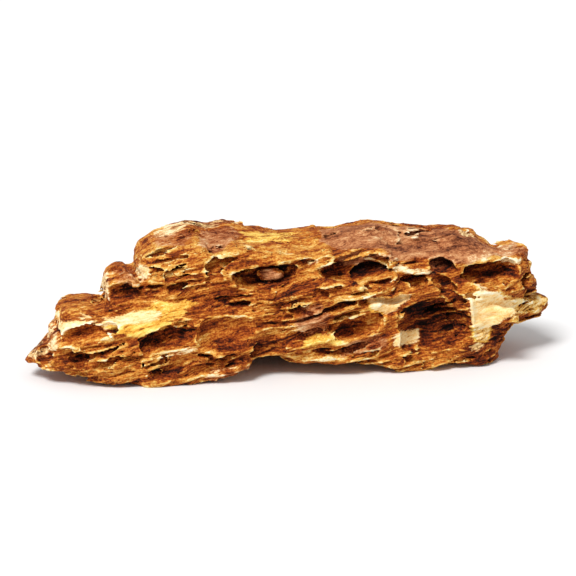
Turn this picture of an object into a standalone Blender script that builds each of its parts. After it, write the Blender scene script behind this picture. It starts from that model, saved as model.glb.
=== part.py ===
"""A dragon stone for an aquarium: one lying piece of layered, weathered clay rock.

The stone is worked out as a field of depths, in millimetres and positive inside it. Slabs of clay are
joined into a body, the body is worn into ledges along its bedding, and long hollows are scooped out of it.
The surface where the depth is zero is then meshed and thinned to flat facets.
X runs along the stone, Y from its front to its back, and Z up from the surface that it lies on.
"""

import functools
import itertools
import math
from collections import namedtuple

import bpy
import numpy as np

MM = 0.001

# Driving dimensions, in millimetres
LENGTH = 248.0
DEPTH = 84.0
HEIGHT = 62.0
GRID_STEP = 1.9
GRID_MARGIN = 8.0
SOLE = 1.5
FACETS = 9200

# The middle of the finished stone's box, as the outlines below are drawn. It ends up at X = Y = 0.
MIDDLE = (0.2, -1.6)

# A depth or a slope too small to matter, in millimetres, which keeps the arithmetic clear of nought
TINY = 1e-6

# How the body is worn, in millimetres and degrees: waves and how far they move or raise the surface
BEND = (34.0, 2.0)
LUMPS = ((52.0, 2.0), (24.0, 1.3), (11.0, 0.6))
SLAB_EDGE = 6.0
SLAB_JOIN = 5.0

# The bedding's dip and how it wanders, and the ledges that its layers end in: how far one layer's edge lies
# above the next, how far they jut, and the length of a stretch that juts alike
BEDDING_DIP = 9.0
BEDDING_WANDER = ((46.0, 4.0), (17.0, 2.0))
LEDGE_SPACING = 9.5
LEDGE_RELIEF = 1.5
LEDGE_LENGTH = 36.0

# A ledge's profile over its relief: how suddenly it ends below its top, its swing and how far it is set back
LEDGE_SUDDENNESS = 8
LEDGE_SWING = 2.2
LEDGE_SETBACK = 0.7

# The share of its relief that a ledge shows at the mean, how much this varies, and how many lengths of
# noise lie between one layer and the next
LEDGE_SHARE = 0.45
LEDGE_VARIATION = 0.9
LEDGE_APART = 2.5

# How the hollows are worn
HOLLOW_BULGE = 1.15
HOLLOW_WARPS = ((26.0, 2.2), (9.0, 1.0))
UNDERCUT = 0.22
RIM_HEIGHT = 0.8
RIM_WIDTH = 2.2
RIM_REACH = 3 * RIM_WIDTH

# The steps in which a hollow's place on the body is sought
SEAT_STEP = 0.5

# The smallest noise lattice that doesn't repeat within the stone, and the seeds of the noises
NOISE_CELLS = 32
BEND_SEEDS = (1, 2, 3)
WANDER_SEED = 11
LEDGE_SEED = 15
LUMP_SEED = 20
WARP_SEEDS = (40, 45, 50)

# A slab of clay: its outline from the front (x, z) and from above (x, y), and how far its top drops per
# square millimetre away from the line y = ridge, at the stone's full height.
Slab = namedtuple("Slab", "front plan ridge crown")

SLABS = {
    "upper": Slab(
        front=(
            (-71, 34), (-70.5, 47), (-70.5, 52), (-67.5, 56), (-61, 58), (-55, 58.5), (-46, 60.7),
            (-42, 60.3), (-38, 57), (-33, 57.8), (-27, 59.7), (-18, 59.4), (-4, 57), (8, 55.5),
            (24, 58), (40, 59.2), (56, 56), (68, 55), (84, 56), (92, 55), (96, 51), (100, 46),
            (108, 51), (116, 50), (118.5, 43), (117, 36), (108, 32), (80, 30), (0, 28), (-60, 32),
        ),
        plan=(
            (-76, -14), (-67, -22), (-42, -26), (-18, -27), (16, -27), (44, -27), (80, -25), (106, -20),
            (119, -9), (118, 6), (102, 22), (70, 34), (30, 38), (-20, 36), (-55, 30), (-72, 16), (-78, -2),
        ),
        ridge=8.0,
        crown=0.0045,
    ),
    "shoulder": Slab(
        front=((82, 36), (84, 49), (95, 49.5), (106, 48), (113, 44), (114, 36)),
        plan=((82, -23), (95, -21.5), (106, -18), (115, -11), (112, -3), (84, -3)),
        ridge=-12.0,
        crown=0.0,
    ),
    "block": Slab(
        front=((-89, 26), (-88.5, 44), (-86, 48), (-81, 50), (-75, 49.5), (-73, 42), (-56, 40), (-56, 26)),
        plan=((-89, -17), (-84, -26), (-66, -29), (-50, -27), (-50, 20), (-70, 22), (-86, 8)),
        ridge=-8.0,
        crown=0.004,
    ),
    "left_foot": Slab(
        front=(
            (-126, 10), (-119, 14.3), (-114.5, 16), (-113, 20.5), (-110, 24), (-109, 28), (-107, 33),
            (-101, 34.3), (-91, 33.5), (-50, 36), (-10, 36), (-6, 14), (-21, 11), (-21.5, 6.5),
            (-26, 2), (-40, -0.5), (-54, -2), (-70, -2.5), (-74, 2.5), (-87, 2.5), (-97, 5),
            (-105, 7), (-110, 8), (-119, 7.5), (-125, 6.5),
        ),
        plan=(
            (-127, -20), (-120, -28), (-108, -35), (-92, -40), (-70, -41), (-45, -41), (-26, -39),
            (-14, -34), (0, -26), (0, 30), (-30, 36), (-70, 33), (-98, 22), (-112, 6), (-123, -10),
        ),
        ridge=-14.0,
        crown=0.014,
    ),
    "right_foot": Slab(
        front=(
            (-22, 14), (-9, 10.5), (-6, 8.5), (3, 7), (15, 5.5), (27, 5), (34, 3.5), (43, 2.5), (48, -1),
            (64, -0.8), (78, -0.2), (93, -1), (95, 1), (97.5, 5), (99.5, 9), (100.5, 12), (106, 14),
            (113, 14), (120, 15.5), (125, 18), (129, 21), (124, 24), (115, 26), (113, 31), (108, 38),
            (80, 42), (0, 42), (-22, 40),
        ),
        plan=(
            (-22, -30), (-5, -35), (20, -36), (45, -35.5), (65, -35), (85, -34), (100, -25), (110, -16),
            (120, -10), (129, -5), (122, 6), (110, 16), (96, 26), (60, 36), (10, 38), (-22, 34),
        ),
        ridge=0.0,
        crown=0.0,
    ),
    "keel": Slab(
        front=((-44, 24), (-44, 3), (34, 3), (34, 24)),
        plan=((-44, -12), (-24, -17), (8, -17), (34, -13), (34, 20), (4, 24), (-24, 22), (-44, 16)),
        ridge=0.0,
        crown=0.0,
    ),
}

# A hollow: the face that it opens on, its place there (x and z, or x and y, or y and z), its length and
# width at the face, its depth, how far its long side rises, in degrees, and how square its outline is, from
# 2 for an ellipse
Hollow = namedtuple("Hollow", "face x y length width depth rise squareness", defaults=(2,))

FRONT_HOLLOWS = {
    "left_scallop": Hollow("front", -98, 25, 29, 10.5, 6, 9),
    "left_low": Hollow("front", -95, 12.5, 29, 7, 4, 8),
    "band_recess": Hollow("front", -61, 21.5, 32, 12, 8, 14),
    "bowl": Hollow("front", -33, 24, 30, 18, 6, 5),
    "foot_recess": Hollow("front", -59, 8, 23, 8, 4.5, 14),
    "foot_slot": Hollow("front", -43, 13, 9, 3.4, 5, 3),
    "block_pit": Hollow("front", -79, 40.5, 18, 10, 6, -5),
    "upper_left_slot": Hollow("front", -56, 50.5, 23, 4.8, 6, 14),
    "upper_left": Hollow("front", -62, 55, 18, 7, 3, 12),
    "upper_middle": Hollow("front", -34, 53, 20, 7, 3, 10),
    "strand_pit": Hollow("front", -64, 44, 9, 4.5, 4, 6),
    "strand_slot": Hollow("front", -54, 42.5, 10, 3.6, 3.5, 12),
    "dark_pit": Hollow("front", -15, 46.5, 28, 11.5, 9, 0),
    "dark_pit_heart": Hollow("front", -23, 48, 13, 6, 15, 0),
    "brow": Hollow("front", -9, 55, 30, 6.5, 4, 5),
    "long_recess": Hollow("front", 27, 48.5, 37, 12.5, 8, 6, 2.5),
    "long_recess_heart": Hollow("front", 35, 45.5, 23, 6.4, 13, 14),
    "thin_slot": Hollow("front", 30, 40, 14, 3.6, 6, 10),
    "small_hole": Hollow("front", -1, 30, 6.5, 4.4, 6, 0),
    "low_hollow": Hollow("front", 27, 24, 28, 12, 5.5, 12),
    "window": Hollow("front", 64, 22.5, 34, 29, 9, 5, 4),
    "window_slot": Hollow("front", 69, 27, 21, 5.4, 14, 17),
    "window_low": Hollow("front", 64, 8.5, 34, 6, 3, 5),
    "eye": Hollow("front", 70, 48, 12, 6, 9, -15),
    "right_pit": Hollow("front", 92.5, 44, 28, 8.5, 11, -2, 4),
    "low_eye": Hollow("front", 69.5, 43, 14, 7.5, 8, -35),
    "middle_right": Hollow("front", 53, 42, 20, 8.7, 4, 10),
    "low_right": Hollow("front", 22, 12, 34, 5.5, 2.5, 3),
    "low_middle": Hollow("front", -14, 15, 18, 8.7, 4, 12),
    "middle_slot": Hollow("front", -26, 37, 20, 3.4, 3, 4),
    "top_slot": Hollow("top", 62, -7, 27, 5, 3, 2),
}

# A lump that stands in a hollow or on the front: its middle, its length, thickness and height, and how far
# its long side rises, in degrees
Lump = namedtuple("Lump", "x y z length thickness height rise")

LUMPS_ON_FRONT = {
    "pit_lump": Lump(-11.5, -22, 46.5, 11, 13, 5, -12),
    "nose_shelf": Lump(91, -30, 25, 26, 8, 9, -12),
}

# Hollows worn at random over a face: how many, the seed that places them, the range of their widths, how
# many times as long as wide they are, and the part of the face's height that they keep to. They keep to
# the given share of the face's length.
Wear = namedtuple("Wear", "count seed widths stretch band")
WEAR_REACH = 0.92

WEAR = {
    "front": Wear(10, 10, (4.0, 6.0), (2.4, 4.0), (0.1, 0.68)),
    "back": Wear(34, 5, (5.0, 12.0), (1.8, 3.6), (0.08, 0.72)),
    "top": Wear(9, 6, (3.5, 8.0), (2.2, 4.0), (0.3, 0.9)),
    "bottom": Wear(22, 7, (4.0, 10.0), (1.6, 3.0), (0.05, 0.95)),
    "left": Wear(8, 8, (5.0, 10.0), (1.4, 2.6), (0.1, 0.75)),
    "right": Wear(9, 9, (5.0, 11.0), (1.4, 2.6), (0.1, 0.75)),
}
WEAR_DEPTH = (0.35, 0.65)
WEAR_RISE = (-2.0, 18.0)

# Each face's directions: across it, up it, and out of it
FACES = {
    "front": ((1, 0, 0), (0, 0, 1), (0, -1, 0)),
    "back": ((1, 0, 0), (0, 0, 1), (0, 1, 0)),
    "top": ((1, 0, 0), (0, 1, 0), (0, 0, 1)),
    "bottom": ((1, 0, 0), (0, 1, 0), (0, 0, -1)),
    "left": ((0, 1, 0), (0, 0, 1), (-1, 0, 0)),
    "right": ((0, 1, 0), (0, 0, 1), (1, 0, 0)),
}


def lookup(lattice, cell):
    """Values of a lattice at fractional cell positions, blended between the eight nearest points."""
    corner = np.floor(cell).astype(np.int64)
    share = cell - corner
    corner = [corner[:, axis] % lattice.shape[axis] for axis in range(3)]
    following = [(corner[axis] + 1) % lattice.shape[axis] for axis in range(3)]
    total = np.zeros(len(cell))
    for ends in itertools.product((0, 1), repeat=3):
        weight = np.ones(len(cell))
        for axis, end in enumerate(ends):
            weight *= share[:, axis] if end else 1.0 - share[:, axis]
        i, j, k = (following[axis] if end else corner[axis] for axis, end in enumerate(ends))
        total += weight * lattice[i, j, k]
    return total


@functools.cache
def random_lattice(seed):
    """A lattice of random values between -1 and 1."""
    return np.random.default_rng(seed).uniform(-1.0, 1.0, (NOISE_CELLS,) * 3)


def noise(points, wave, seed):
    """Smooth random values between -1 and 1 that vary over about a wave's length."""
    cell = points / wave
    whole = np.floor(cell)
    share = cell - whole
    return lookup(random_lattice(seed), whole + share * share * (3.0 - 2.0 * share))


def layered_noise(points, layers, seed):
    """The sum of a noise for each pair of a wave and an amplitude."""
    return sum(size * noise(points, wave, seed + number) for number, (wave, size) in enumerate(layers))


def joined(a, b, width):
    """The greater of two depths, with the crease between them filled over the given width."""
    blend = np.maximum(width - np.abs(a - b), 0.0) / width
    return np.maximum(a, b) + blend * blend * width / 4.0


def outline_depth(outline, x, y):
    """How deep points lie inside a closed outline, negative outside it."""
    nearest = np.full(len(x), np.inf)
    inside = np.zeros(len(x), bool)
    for (x0, y0), (x1, y1) in zip(outline, outline[1:] + outline[:1]):
        along_x, along_y = x1 - x0, y1 - y0
        share = ((x - x0) * along_x + (y - y0) * along_y) / (along_x**2 + along_y**2)
        share = np.clip(share, 0.0, 1.0)
        nearest = np.minimum(nearest, np.hypot(x - x0 - share * along_x, y - y0 - share * along_y))
        if y0 != y1:
            passes = (y0 > y) != (y1 > y)
            inside ^= passes & (x < x0 + (y - y0) * along_x / along_y)
    return np.where(inside, nearest, -nearest)


def slab_depth(points, slab):
    """How deep points lie inside a slab, with its edges rounded."""
    x, y, z = points.T
    share = np.clip(z / HEIGHT, 0.0, 1.0)
    raised = z + share * slab.crown * (y - slab.ridge) ** 2
    from_front = outline_depth(slab.front, x, raised)
    from_above = outline_depth(slab.plan, x, y)
    return -joined(-from_front, -from_above, SLAB_EDGE)


def ledges(points):
    """How far the layers' edges stand out: each layer juts at its top and is worn back below."""
    x, y, z = points.T
    dip = math.radians(BEDDING_DIP)
    height = z * math.cos(dip) - x * math.sin(dip) + layered_noise(points, BEDDING_WANDER, WANDER_SEED)
    layer = np.floor(height / LEDGE_SPACING)
    phase = height / LEDGE_SPACING - layer
    jut = LEDGE_SWING * phase**2 * (1.0 - phase**LEDGE_SUDDENNESS) - LEDGE_SETBACK
    own = np.stack([x, y, layer * LEDGE_APART * LEDGE_LENGTH], axis=1)
    strength = LEDGE_SHARE + LEDGE_VARIATION * noise(own, LEDGE_LENGTH, LEDGE_SEED)
    return LEDGE_RELIEF * np.clip(strength, 0.0, 1.0) * jut


def body_depth(points):
    """How deep points lie inside the stone before its hollows are made."""
    wave, shift = BEND
    moved = points + shift * np.stack([noise(points, wave, seed) for seed in BEND_SEEDS], axis=1)
    depth = None
    for slab in SLABS.values():
        found = slab_depth(moved, slab)
        depth = found if depth is None else joined(depth, found, SLAB_JOIN)
    return depth + layered_noise(points, LUMPS, LUMP_SEED) + ledges(points)


def worn_hollows():
    """Hollows strewn over the faces, longer than they are wide and roughly in line with the bedding."""
    found = []
    for face, wear in WEAR.items():
        chance = np.random.default_rng(wear.seed)
        across = DEPTH / 2 if face in ("left", "right") else LENGTH / 2
        for _ in range(wear.count):
            x = chance.uniform(-WEAR_REACH, WEAR_REACH) * across
            share = chance.uniform(*wear.band)
            y = (share - 0.5) * DEPTH if face in ("top", "bottom") else share * HEIGHT
            width = chance.uniform(*wear.widths)
            length = width * chance.uniform(*wear.stretch)
            deepness = width * chance.uniform(*WEAR_DEPTH)
            found.append(Hollow(face, x, y, length, width, deepness, chance.uniform(*WEAR_RISE)))
    return found


def seat(hollow):
    """Where a hollow meets the body: on the line along its face's normal, or None if that misses."""
    across, up, outward = (np.array(axis, float) for axis in FACES[hollow.face])
    reach = np.arange(LENGTH, -LENGTH, -SEAT_STEP)
    line = hollow.x * across + hollow.y * up + reach[:, None] * outward
    inside = body_depth(line) > 0.0
    return line[np.argmax(inside)] if inside.any() else None


def outside_hollow(points, hollow, centre):
    """How far points lie outside a hollow's rounded space, which leans in under its upper lip."""
    across, up, outward = (np.array(axis, float) for axis in FACES[hollow.face])
    rise = math.radians(hollow.rise)
    along = across * math.cos(rise) + up * math.sin(rise)
    over = up * math.cos(rise) - across * math.sin(rise)
    deep = hollow.depth * HOLLOW_BULGE
    away = points - centre - (deep - hollow.depth) * outward
    inward = -(away @ outward)
    lean = 0.0 if hollow.face in ("top", "bottom") else UNDERCUT * inward
    half = np.array([hollow.length / 2, hollow.width / 2, deep])
    local = np.stack([away @ along, away @ over - lean, inward], axis=1) / half
    round_face = np.sum(np.abs(local[:, :2]) ** hollow.squareness, axis=1) ** (1.0 / hollow.squareness)
    near = np.hypot(round_face, local[:, 2])
    slope = np.linalg.norm(local / half, axis=1) + TINY
    return near * (near - 1.0) / slope


def lump_depth(points, lump):
    """How deep points lie inside a lump."""
    rise = math.radians(lump.rise)
    x, y, z = (points - (lump.x, lump.y, lump.z)).T
    along = x * math.cos(rise) + z * math.sin(rise)
    over = z * math.cos(rise) - x * math.sin(rise)
    half = np.array([lump.length, lump.thickness, lump.height]) / 2
    local = np.stack([along, y, over], axis=1) / half
    near = np.linalg.norm(local, axis=1)
    slope = np.linalg.norm(local / half, axis=1) + TINY
    return near * (1.0 - near) / slope


def stone_depth(points):
    """How deep points lie inside the worn stone, which is level a little below where it will rest."""
    depth = body_depth(points)
    moved = points + np.stack([layered_noise(points, HOLLOW_WARPS, seed) for seed in WARP_SEEDS], axis=1)
    for hollow in [*FRONT_HOLLOWS.values(), *worn_hollows()]:
        centre = seat(hollow)
        if centre is None:
            continue
        near = (np.abs(moved - centre) < hollow.length / 2 + RIM_REACH).all(axis=1)
        gap = outside_hollow(moved[near], hollow, centre)
        rim = RIM_HEIGHT * np.exp(-((np.maximum(gap, 0.0) / RIM_WIDTH) ** 2))
        depth[near] = np.minimum(depth[near] + rim, gap)
    for lump in LUMPS_ON_FRONT.values():
        depth = np.maximum(depth, lump_depth(moved, lump))
    return np.minimum(depth, points[:, 2] + SOLE)


def tetrahedra():
    """The six tetrahedra that fill a cube, by corner number, all wound the same way."""
    found = []
    for order in itertools.permutations((4, 2, 1)):
        corners = [0, order[0], order[0] + order[1], 7]
        odd = order in ((4, 1, 2), (2, 4, 1), (1, 2, 4))
        found.append(corners[:2] + corners[:1:-1] if odd else corners)
    return np.array(found)


def crossing_triangles():
    """For each set of corners inside, the triangles between them and the rest, as pairs of corners."""
    cases = {}
    for case in range(1, 15):
        inside = [n for n in range(4) if case >> n & 1]
        outside = [n for n in range(4) if not case >> n & 1]
        order = inside + outside
        odd = sum(a > b for a, b in itertools.combinations(order, 2)) % 2
        if len(inside) == 2:
            (a, b), (c, d) = inside, outside
            corners = [(a, c), (a, d), (b, d), (b, c)]
            triangles = [corners[:3], [corners[0], corners[2], corners[3]]]
        else:
            triangles = [[(a, b) for a in inside for b in outside]]
        cases[case] = [triangle[::-1] if odd else triangle for triangle in triangles]
    return cases


def skin_of(depth, lowest, step):
    """The closed surface where a grid of depths is zero: its points, and its triangles."""
    flat = np.where(np.abs(depth) < TINY, TINY, depth).ravel()
    number = np.arange(flat.size).reshape(depth.shape)
    corners = [
        number[i : i + depth.shape[0] - 1, j : j + depth.shape[1] - 1, k : k + depth.shape[2] - 1].ravel()
        for i, j, k in itertools.product((0, 1), repeat=3)
    ]
    cells = np.stack(corners, axis=1)
    inside = flat > 0.0
    count = inside[cells].sum(axis=1)
    cells = cells[(count > 0) & (count < 8)]
    pairs = []
    for tetrahedron in tetrahedra():
        corner = cells[:, tetrahedron]
        code = inside[corner] @ np.array([1, 2, 4, 8])
        for case, triangles in crossing_triangles().items():
            chosen = corner[code == case]
            pairs += [chosen[:, np.array(triangle)] for triangle in triangles]
    pairs = np.sort(np.concatenate(pairs).reshape(-1, 2), axis=1)
    keys, triangles = np.unique(pairs[:, 0] * flat.size + pairs[:, 1], return_inverse=True)
    start, end = keys // flat.size, keys % flat.size
    share = (flat[start] / (flat[start] - flat[end]))[:, None]
    place = [np.stack(np.unravel_index(n, depth.shape), axis=1) for n in (start, end)]
    points = lowest + step * (place[0] + share * (place[1] - place[0]))
    return points, triangles.reshape(-1, 3)


def grid(lowest, highest, step):
    """The points of a grid, as rows, and its shape."""
    axes = [np.arange(low, high + step, step) for low, high in zip(lowest, highest)]
    points = np.stack(np.meshgrid(*axes, indexing="ij"), axis=-1)
    return points.reshape(-1, 3), points.shape[:3]


def stone_material():
    """Dry brown clay rock."""
    material = bpy.data.materials.new("clay_rock")
    material.use_nodes = True
    shader = material.node_tree.nodes["Principled BSDF"]
    shader.inputs["Base Color"].default_value = (0.42, 0.21, 0.07, 1.0)
    shader.inputs["Roughness"].default_value = 0.8
    shader.inputs["Metallic"].default_value = 0.0
    return material


def make_floor_cutter():
    """A box under Z = 0, whose top cuts the flat patches that the stone rests on."""
    size = 2 * LENGTH * MM
    bpy.ops.mesh.primitive_cube_add(size=size, location=(0.0, 0.0, -size / 2))
    cutter = bpy.context.object
    cutter.name = "floor_cutter"
    cutter.hide_render = True
    cutter.display_type = "WIRE"
    return cutter


def make_stone():
    """The dragon stone, meshed from its depth field, thinned to flat facets and cut level below."""
    lowest = np.array([-LENGTH / 2, -DEPTH / 2, 0.0]) - GRID_MARGIN
    highest = np.array([LENGTH / 2, DEPTH / 2, HEIGHT]) + GRID_MARGIN
    points, shape = grid(lowest, highest, GRID_STEP)
    depth = stone_depth(points).reshape(shape)
    corners, triangles = skin_of(depth, lowest, GRID_STEP)
    corners[:, :2] -= MIDDLE
    mesh = bpy.data.meshes.new("dragon_stone")
    mesh.from_pydata((corners * MM).tolist(), [], triangles.tolist())
    mesh.materials.append(stone_material())
    stone = bpy.data.objects.new("dragon_stone", mesh)
    bpy.context.scene.collection.objects.link(stone)
    thin = stone.modifiers.new("thin", "DECIMATE")
    thin.ratio = FACETS / len(triangles)
    level = stone.modifiers.new("level", "BOOLEAN")
    level.operation = "DIFFERENCE"
    level.object = make_floor_cutter()
    return stone


def main():
    for old in list(bpy.data.objects):
        bpy.data.objects.remove(old)
    make_stone()


main()
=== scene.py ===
"""The look of the dragon stone: its worn surface in full detail, its colours, and the studio round it.

The stone is worked out as a field of depths, in millimetres and positive inside it, from the same slabs,
ledges and hollows as the CAD solid. Thin layers, fibres, scoops and slots are then worn into the field, and
its zero surface is meshed. The colours follow from how hollow or exposed each place is, which paints shade
into the creases and hollows and highlights onto the sharp edges and lips, and from patches whose places are
given in the stone's own millimetres; the front's dark patches paint shade into its recesses and under the
nose.
X runs along the stone, Y from its front to its back, and Z up from the surface that it lies on.
"""

import functools
import itertools
import math
from collections import namedtuple

import bpy
import numpy as np
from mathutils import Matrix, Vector


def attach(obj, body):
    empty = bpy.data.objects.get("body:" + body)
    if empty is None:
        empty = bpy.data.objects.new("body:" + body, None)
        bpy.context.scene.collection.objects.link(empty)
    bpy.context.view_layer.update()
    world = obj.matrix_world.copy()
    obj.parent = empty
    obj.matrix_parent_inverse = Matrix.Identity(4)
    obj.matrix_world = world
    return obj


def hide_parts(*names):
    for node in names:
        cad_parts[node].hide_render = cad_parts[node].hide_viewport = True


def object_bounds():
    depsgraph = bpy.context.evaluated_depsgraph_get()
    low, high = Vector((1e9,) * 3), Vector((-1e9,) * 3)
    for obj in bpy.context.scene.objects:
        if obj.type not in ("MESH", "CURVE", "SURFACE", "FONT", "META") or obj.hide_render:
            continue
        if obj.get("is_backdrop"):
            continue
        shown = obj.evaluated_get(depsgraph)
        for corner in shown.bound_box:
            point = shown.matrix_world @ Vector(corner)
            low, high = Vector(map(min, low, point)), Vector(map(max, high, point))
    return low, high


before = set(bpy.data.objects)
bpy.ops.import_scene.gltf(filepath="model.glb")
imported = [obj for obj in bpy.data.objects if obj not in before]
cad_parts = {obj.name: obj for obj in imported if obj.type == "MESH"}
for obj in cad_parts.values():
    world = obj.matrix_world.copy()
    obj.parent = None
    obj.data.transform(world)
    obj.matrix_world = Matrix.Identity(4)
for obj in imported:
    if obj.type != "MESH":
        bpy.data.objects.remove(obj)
cad_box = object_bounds()

MM = 0.001

# Driving dimensions, in millimetres
LENGTH = 248.0
DEPTH = 84.0
HEIGHT = 62.0
GRID_MARGIN = 8.0
BODY_STEP = 1.9
SKIN_STEP = 0.6
TRIANGLES = 198000

# The middle of the finished stone's box, as the outlines below are drawn. It ends up at X = Y = 0.
MIDDLE = (0.2, -1.6)

# How the body is worn, in millimetres and degrees: waves, how far they move or raise the surface, and the
# seeds of their noise
BEND = (34.0, 2.0)
BEND_SEEDS = (1, 2, 3)
LUMPS = ((52.0, 2.0), (24.0, 1.3), (11.0, 0.6))
LUMP_SEED = 20
SLAB_EDGE = 6.0
SLAB_JOIN = 5.0
BEDDING_DIP = 9.0
BEDDING_WANDER = ((46.0, 4.0), (17.0, 2.0))
WANDER_SEED = 11

# Layers of clay: the spacing of their edges, how far these jut, the length of a stretch that juts alike,
# how suddenly a layer ends below its top, and the seed of its noise
Layers = namedtuple("Layers", "spacing relief length suddenness seed")
LEDGES = Layers(spacing=9.5, relief=1.5, length=36.0, suddenness=8, seed=15)
FINE_LAYERS = (
    Layers(spacing=4.6, relief=1.2, length=26.0, suddenness=6, seed=60),
    Layers(spacing=2.6, relief=0.6, length=15.0, suddenness=4, seed=63),
)

# For a layer that juts by 1: how far it swings from its foot to its top, and how far its foot is set back
LEDGE_SWING = 2.2
LEDGE_SETBACK = 0.7

# How strongly stretches of the layers jut, how much that varies, how many stretches apart the noise of
# neighbouring layers is taken, and how near the surface a place has to be for them to be worked out
LEDGE_SHARE = 0.45
LEDGE_VARIATION = 0.9
LEDGE_APART = 2.5
LEDGE_REACH = 9.0

# How the hollows are worn: how much deeper than it is cut a hollow's round space is, the waves that warp
# it, how far it leans in under its upper lip, the rim round it, and the step that finds its place
HOLLOW_BULGE = 1.15
HOLLOW_WARPS = ((26.0, 2.2), (9.0, 1.0))
WARP_SEEDS = (40, 45, 50)
UNDERCUT = 0.22
RIM_HEIGHT = 0.8
RIM_WIDTH = 2.2
SEAT_STEP = 0.5

# How many times its width a rim reaches before it has faded away
RIM_REACH = 3

# The smallest noise lattice that doesn't repeat within the stone
NOISE_CELLS = 32

# Slopes too small to matter, which keep the arithmetic clear of nought
TINY = 1e-6
LEAST_SLOPE = 1e-9

# A slab of clay: its outline from the front (x, z) and from above (x, y), and how far its top drops per
# square millimetre away from the line y = ridge, at the stone's full height.
Slab = namedtuple("Slab", "front plan ridge crown")

SLABS = {
    "upper": Slab(
        front=(
            (-71, 34), (-70.5, 47), (-70.5, 52), (-67.5, 56), (-61, 58), (-55, 58.5), (-46, 60.7),
            (-42, 60.3), (-38, 57), (-33, 57.8), (-27, 59.7), (-18, 59.4), (-4, 57), (8, 55.5),
            (24, 58), (40, 59.2), (56, 56), (68, 55), (84, 56), (92, 55), (96, 51), (100, 46),
            (108, 51), (116, 50), (118.5, 43), (117, 36), (108, 32), (80, 30), (0, 28), (-60, 32),
        ),
        plan=(
            (-76, -14), (-67, -22), (-42, -26), (-18, -27), (16, -27), (44, -27), (80, -25), (106, -20),
            (119, -9), (118, 6), (102, 22), (70, 34), (30, 38), (-20, 36), (-55, 30), (-72, 16), (-78, -2),
        ),
        ridge=8.0,
        crown=0.0045,
    ),
    "shoulder": Slab(
        front=((82, 36), (84, 49), (95, 49.5), (106, 48), (113, 44), (114, 36)),
        plan=((82, -23), (95, -21.5), (106, -18), (115, -11), (112, -3), (84, -3)),
        ridge=-12.0,
        crown=0.0,
    ),
    "block": Slab(
        front=((-89, 26), (-88.5, 44), (-86, 48), (-81, 50), (-75, 49.5), (-73, 42), (-56, 40), (-56, 26)),
        plan=((-89, -17), (-84, -26), (-66, -29), (-50, -27), (-50, 20), (-70, 22), (-86, 8)),
        ridge=-8.0,
        crown=0.004,
    ),
    "left_foot": Slab(
        front=(
            (-126, 10), (-119, 14.3), (-114.5, 16), (-113, 20.5), (-110, 24), (-109, 28), (-107, 33),
            (-101, 34.3), (-91, 33.5), (-50, 36), (-10, 36), (-6, 14), (-21, 11), (-21.5, 6.5),
            (-26, 2), (-40, -0.5), (-54, -2), (-70, -2.5), (-74, 2.5), (-87, 2.5), (-97, 5),
            (-105, 7), (-110, 8), (-119, 7.5), (-125, 6.5),
        ),
        plan=(
            (-127, -20), (-120, -28), (-108, -35), (-92, -40), (-70, -41), (-45, -41), (-26, -39),
            (-14, -34), (0, -26), (0, 30), (-30, 36), (-70, 33), (-98, 22), (-112, 6), (-123, -10),
        ),
        ridge=-14.0,
        crown=0.014,
    ),
    "right_foot": Slab(
        front=(
            (-22, 14), (-9, 10.5), (-6, 8.5), (3, 7), (15, 5.5), (27, 5), (34, 3.5), (43, 2.5), (48, -1),
            (64, -0.8), (78, -0.2), (93, -1), (95, 1), (97.5, 5), (99.5, 9), (100.5, 12), (106, 14),
            (113, 14), (120, 15.5), (125, 18), (129, 21), (124, 24), (115, 26), (113, 31), (108, 38),
            (80, 42), (0, 42), (-22, 40),
        ),
        plan=(
            (-22, -30), (-5, -35), (20, -36), (45, -35.5), (65, -35), (85, -34), (100, -25), (110, -16),
            (120, -10), (129, -5), (122, 6), (110, 16), (96, 26), (60, 36), (10, 38), (-22, 34),
        ),
        ridge=0.0,
        crown=0.0,
    ),
    "keel": Slab(
        front=((-44, 24), (-44, 3), (34, 3), (34, 24)),
        plan=((-44, -12), (-24, -17), (8, -17), (34, -13), (34, 20), (4, 24), (-24, 22), (-44, 16)),
        ridge=0.0,
        crown=0.0,
    ),
}

# A hollow: the face that it opens on, its place there (x and z, or x and y, or y and z), its length and
# width at the face, its depth, how far its long side rises, in degrees, and how square its outline is, from
# 2 for an ellipse
Hollow = namedtuple("Hollow", "face x y length width depth rise squareness", defaults=(2,))

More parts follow.
